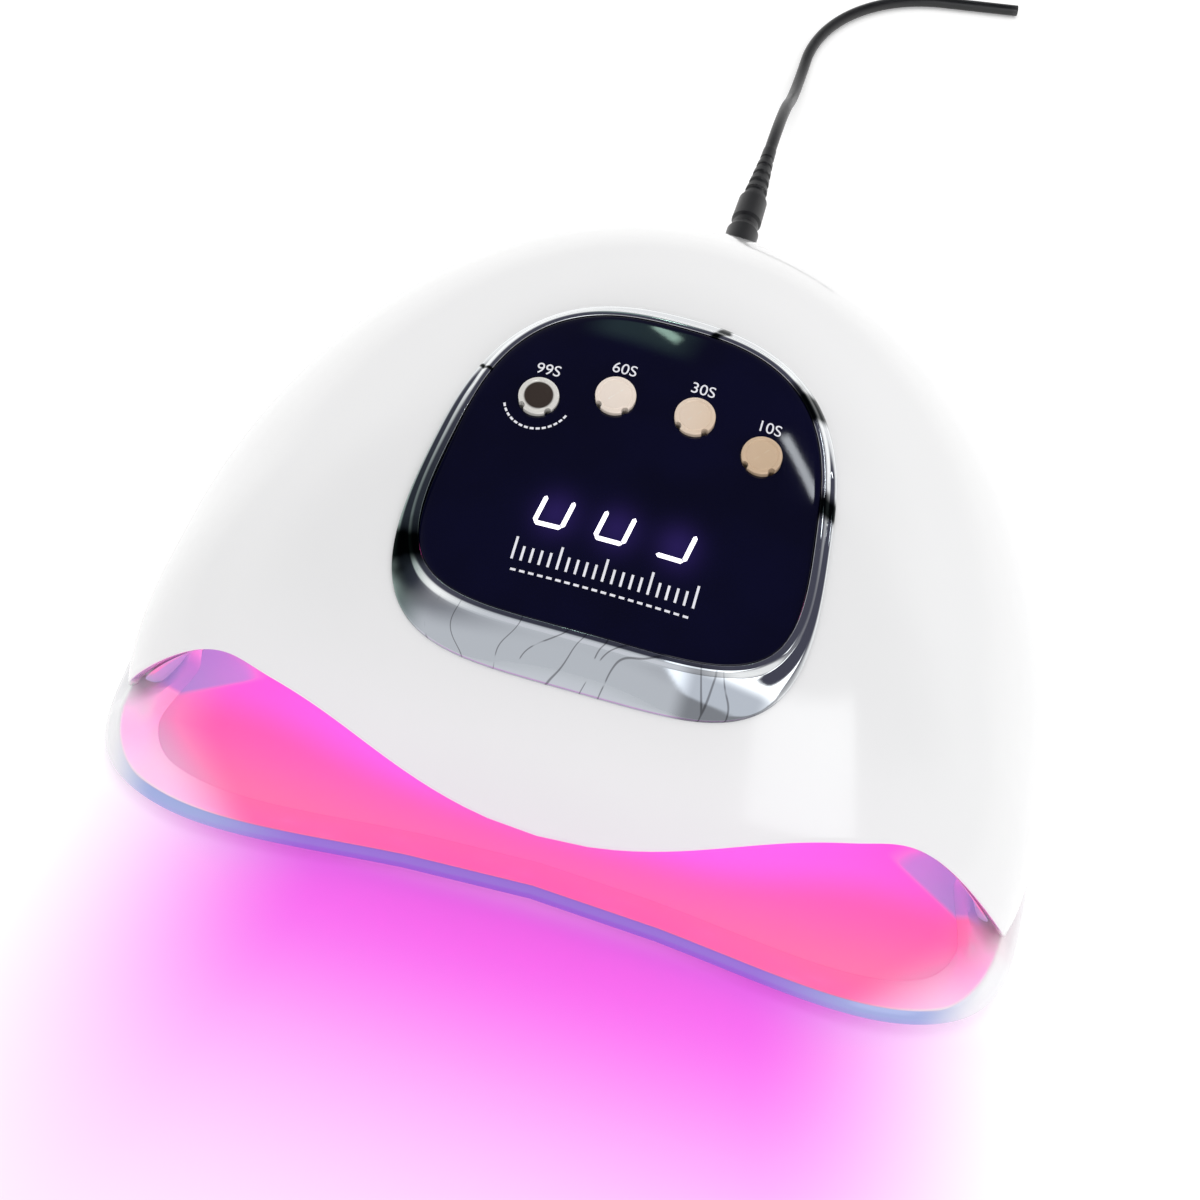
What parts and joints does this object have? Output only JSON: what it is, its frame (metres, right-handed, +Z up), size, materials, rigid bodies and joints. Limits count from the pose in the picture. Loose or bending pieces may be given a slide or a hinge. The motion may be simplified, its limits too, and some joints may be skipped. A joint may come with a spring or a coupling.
{
  "type": "uv nail curing lamp",
  "caption": "Dome-shaped curing lamp with a wavy hand opening, a tilted button and timer panel in a chrome ring, a lift-off tray and a plug-in lead.",
  "frame": {"origin": "middle of the whole outline, lead included, at the level of the table", "axes": "+Z up, -Y is the way the hand opening faces, +X to the right when facing the opening"},
  "size_m": [0.2272, 0.3844, 0.0959],
  "materials": {
    "white_shell": "high gloss white ABS",
    "white_liner": "gloss white ABS, lit pink from inside",
    "chrome": "vacuum-plated chrome",
    "panel_glass": "dark navy high gloss acrylic",
    "carrier": "moulded ABS",
    "button_metal": "plated button caps",
    "board": "green solder mask",
    "led_board": "white solder mask",
    "chip": "moulded package",
    "display_body": "dark display housing",
    "display_light": "lit light bars",
    "steel": "zinc-plated steel",
    "magnet": "nickel-plated magnets",
    "gold_contact": "plated contact",
    "led_lens": "clear violet-tinted resin",
    "sensor": "dark infrared resin",
    "wire_grey": "insulated wire",
    "wire_red": "insulated wire",
    "reflector": "mirror film on the tray floor",
    "foot_rubber": "soft rubber",
    "lead_black": "black flexible PVC",
    "nickel": "nickel-plated barrel"
  },
  "bodies": {
    "base": {"base_tray": "white_shell", "tray_reflector": "reflector", "tray_magnets": "magnet", "rubber_feet": "foot_rubber"},
    "lamp": {"top_shell": "white_shell", "inner_liner": "white_liner", "bottom_frame": "white_shell", "shell_screws": "steel", "frame_magnets": "magnet", "chrome_bezel": "chrome", "panel_lens": "panel_glass", "panel_carrier": "carrier", "tact_switches": "steel", "control_board": "board", "control_chip": "chip", "power_parts": "chip", "display_block": "display_body", "display_segments": "display_light", "board_screws": "steel", "led_boards": "led_board", "led_emitters": "gold_contact", "led_domes": "led_lens", "led_harness": "wire_grey", "hand_sensors": "sensor", "sensor_leads": "wire_grey", "dc_jack": "lead_black", "dc_jack_pin": "gold_contact", "dc_jack_nut": "steel", "power_leads": "wire_red"},
    "button_99s": {"button_99s": "button_metal"},
    "button_60s": {"button_60s": "button_metal"},
    "button_30s": {"button_30s": "button_metal"},
    "button_10s": {"button_10s": "button_metal"},
    "plug": {"dc_plug": "lead_black", "dc_plug_barrel": "nickel", "strain_relief": "lead_black", "power_lead_cable": "lead_black"}
  },
  "joints": [
    {"name": "lamp_lift", "type": "slide", "parent": "base", "child": "lamp", "axis": [0, 0, 1], "range_m": [0, 0.06]},
    {"name": "press_99s", "type": "slide", "parent": "lamp", "child": "button_99s", "axis": [0, 0.2639, -0.9646], "range_m": [0, 0.0006]},
    {"name": "press_60s", "type": "slide", "parent": "lamp", "child": "button_60s", "axis": [0, 0.2639, -0.9646], "range_m": [0, 0.0006]},
    {"name": "press_30s", "type": "slide", "parent": "lamp", "child": "button_30s", "axis": [0, 0.2639, -0.9646], "range_m": [0, 0.0006]},
    {"name": "press_10s", "type": "slide", "parent": "lamp", "child": "button_10s", "axis": [0, 0.2639, -0.9646], "range_m": [0, 0.0006]},
    {"name": "plug_pull", "type": "slide", "parent": "lamp", "child": "plug", "axis": [0, 1, 0], "range_m": [0, 0.015]}
  ]
}
